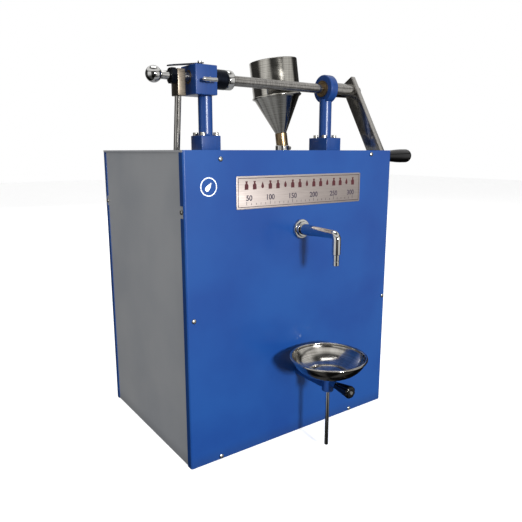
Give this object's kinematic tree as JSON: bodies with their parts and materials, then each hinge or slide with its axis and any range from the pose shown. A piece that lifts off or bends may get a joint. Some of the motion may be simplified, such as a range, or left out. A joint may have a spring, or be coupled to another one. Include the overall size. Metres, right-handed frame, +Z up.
{
  "type": "piston liquid filler",
  "caption": "Hand-operated piston liquid filler: sheet-metal cabinet with a lever shaft, hopper, curved filling spout and height-adjustable drip bowl.",
  "frame": {"origin": "centre of the cabinet's flat underside", "axes": "+Z up, -Y towards the spout side, +X towards the hand lever"},
  "size_m": [0.4952, 0.4294, 0.6221],
  "materials": {
    "panel_blue": "gloss powder coat",
    "panel_grey": "satin powder coat",
    "dark_steel": "satin",
    "screw_zinc": "zinc plated",
    "label_steel": "brushed",
    "cast_blue": "gloss paint",
    "brass": "turned",
    "ground_steel": "ground",
    "dark_sleeve": "blackened",
    "chrome": "polished",
    "stainless": "polished",
    "black_grip": "polished",
    "pump_steel": "turned",
    "seal_rubber": "matte"
  },
  "bodies": {
    "frame": {"base_plate": "dark_steel", "top_plate": "dark_steel", "frame_angles": "dark_steel", "front_panel": "panel_blue", "back_panel": "panel_blue", "left_side_panel": "panel_grey", "right_side_panel": "panel_grey", "panel_screws": "screw_zinc", "name_plate": "label_steel", "left_post": "cast_blue", "left_bearing_block": "cast_blue", "left_bush": "brass", "bearing_sleeve": "dark_sleeve", "right_post": "cast_blue", "right_bush": "brass", "post_bolts": "screw_zinc", "pointer_strip": "dark_sleeve", "pointer_screw": "screw_zinc", "hopper": "stainless", "hopper_neck": "brass", "hopper_nut": "chrome", "spout_flange": "chrome", "spout_pipe": "chrome", "spout_tip": "chrome", "bowl_arm": "cast_blue", "pump_brackets": "dark_steel", "pump_cylinder": "pump_steel", "pump_front_cap": "pump_steel", "pump_end_cap": "pump_steel", "pump_gland": "brass", "tie_rods": "screw_zinc", "valve_block": "pump_steel", "suction_pipe": "pump_steel", "discharge_pipe": "pump_steel"},
    "shaft": {"main_shaft": "ground_steel", "shaft_collar": "chrome", "arm_hub": "brass", "drop_arm": "ground_steel", "lever_hub": "ground_steel", "hand_lever": "ground_steel", "lever_nut": "ground_steel", "handle_spindle": "ground_steel"},
    "grip": {"hand_grip": "black_grip"},
    "ball_handle": {"hub_lock_nut": "dark_sleeve", "handle_rod": "ground_steel", "ball_knob": "chrome"},
    "lock": {"lock_screw": "screw_zinc"},
    "bowl": {"drip_bowl": "stainless", "bowl_rod": "ground_steel", "bowl_nut": "stainless"},
    "knob": {"clamp_knob": "black_grip", "clamp_screw": "chrome"},
    "thumb": {"thumb_screw": "screw_zinc"},
    "piston_set": {"piston": "pump_steel", "piston_seals": "seal_rubber", "piston_rod": "pump_steel", "drive_yoke": "pump_steel", "drive_pin": "pump_steel"},
    "inlet_valve": {"inlet_ball": "brass"},
    "outlet_valve": {"outlet_ball": "brass"}
  },
  "joints": [
    {"name": "shaft_turn", "type": "hinge", "parent": "frame", "child": "shaft", "pos_m": [0, -0.0385, 0.567], "axis": [1, 0, 0], "range_deg": [-20, 6]},
    {"name": "grip_spin", "type": "hinge", "parent": "shaft", "child": "grip", "pos_m": [0.25, -0.10793, 0.45006], "axis": [1, 0, 0], "continuous": true},
    {"name": "ball_handle_turn", "type": "hinge", "parent": "shaft", "child": "ball_handle", "pos_m": [-0.186, -0.0385, 0.567], "axis": [1, 0, 0], "range_deg": [-180, 180]},
    {"name": "lock_screw_turn", "type": "hinge", "parent": "frame", "child": "lock", "pos_m": [-0.1115, -0.0785, 0.5615], "axis": [0, -1, 0], "range_deg": [-180, 180]},
    {"name": "bowl_lift", "type": "slide", "parent": "frame", "child": "bowl", "axis": [0, 0, 1], "range_m": [0, 0.085]},
    {"name": "clamp_knob_turn", "type": "hinge", "parent": "frame", "child": "knob", "pos_m": [0, -0.2485, 0.1135], "axis": [0, -1, 0], "range_deg": [-180, 180]},
    {"name": "thumb_screw_turn", "type": "hinge", "parent": "frame", "child": "thumb", "pos_m": [0.109, 0.019, 0.4645], "axis": [1, 0, 0], "range_deg": [-180, 180]},
    {"name": "piston_slide", "type": "slide", "parent": "frame", "child": "piston_set", "axis": [0, 1, 0], "range_m": [-0.0605, 0.0185]},
    {"name": "inlet_lift", "type": "slide", "parent": "frame", "child": "inlet_valve", "axis": [0, 0, 1], "range_m": [0, 0.003]},
    {"name": "outlet_lift", "type": "slide", "parent": "frame", "child": "outlet_valve", "axis": [0, 0, 1], "range_m": [0, 0.003]}
  ],
  "couplings": [
    {"joint": "piston_slide", "follows": "shaft_turn", "m_per_rad": 0.1722}
  ]
}
